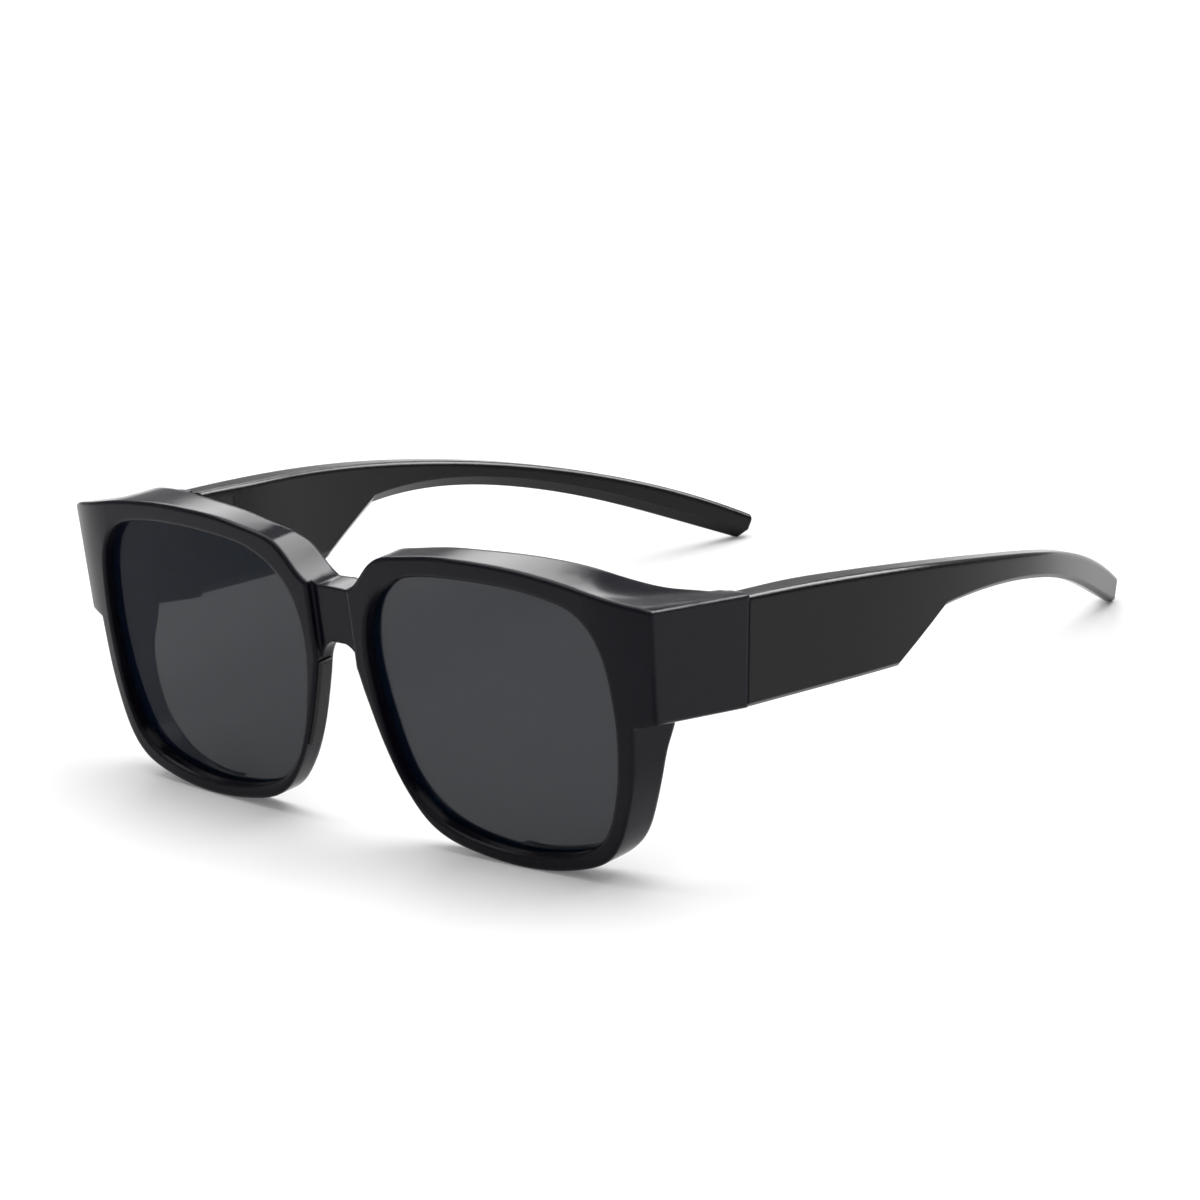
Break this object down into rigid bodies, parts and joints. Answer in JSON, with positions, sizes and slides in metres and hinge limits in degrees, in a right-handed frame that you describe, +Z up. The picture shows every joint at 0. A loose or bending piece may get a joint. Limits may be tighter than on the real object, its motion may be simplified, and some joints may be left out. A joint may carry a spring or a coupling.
{
  "type": "fitover sunglasses",
  "caption": "Black wrap fitover sunglasses: deep brow shelf, flat end blocks, smoke lenses, wide hinged temples that step down to slim arms",
  "frame": {"origin": "on the ground under the middle of the outer box: the rims and both temple tips stand on z = 0", "axes": "+X across the face to the wearer's left, +Y back along the temples, +Z up; the lenses face -Y"},
  "size_m": [0.155, 0.1618, 0.057],
  "materials": {
    "frame_plastic": "polished, injection moulded",
    "temple_plastic": "satin, injection moulded",
    "lens": "smoke tinted, polished",
    "nose_pad": "soft and matt",
    "hinge_metal": "fine brushed"
  },
  "bodies": {
    "front": {"front_frame": "frame_plastic", "lens_left": "lens", "lens_right": "lens", "nose_pad_left": "nose_pad", "nose_pad_right": "nose_pad", "front_hinge_leaf_left": "hinge_metal", "front_hinge_leaf_right": "hinge_metal", "hinge_screw_left": "hinge_metal", "hinge_screw_right": "hinge_metal", "front_leaf_screws_left": "hinge_metal", "front_leaf_screws_right": "hinge_metal"},
    "left_temple": {"temple_left": "temple_plastic", "temple_hinge_leaf_left": "hinge_metal", "temple_leaf_screws_left": "hinge_metal"},
    "right_temple": {"temple_right": "temple_plastic", "temple_hinge_leaf_right": "hinge_metal", "temple_leaf_screws_right": "hinge_metal"}
  },
  "joints": [
    {"name": "left_temple_fold", "type": "hinge", "parent": "front", "child": "left_temple", "pos_m": [0.0685, -0.05014, 0.04019], "axis": [0, 0.1132, 0.9936], "range_deg": [0, 87]},
    {"name": "right_temple_fold", "type": "hinge", "parent": "front", "child": "right_temple", "pos_m": [-0.0685, -0.05014, 0.04019], "axis": [0, -0.1132, -0.9936], "range_deg": [0, 77]}
  ]
}
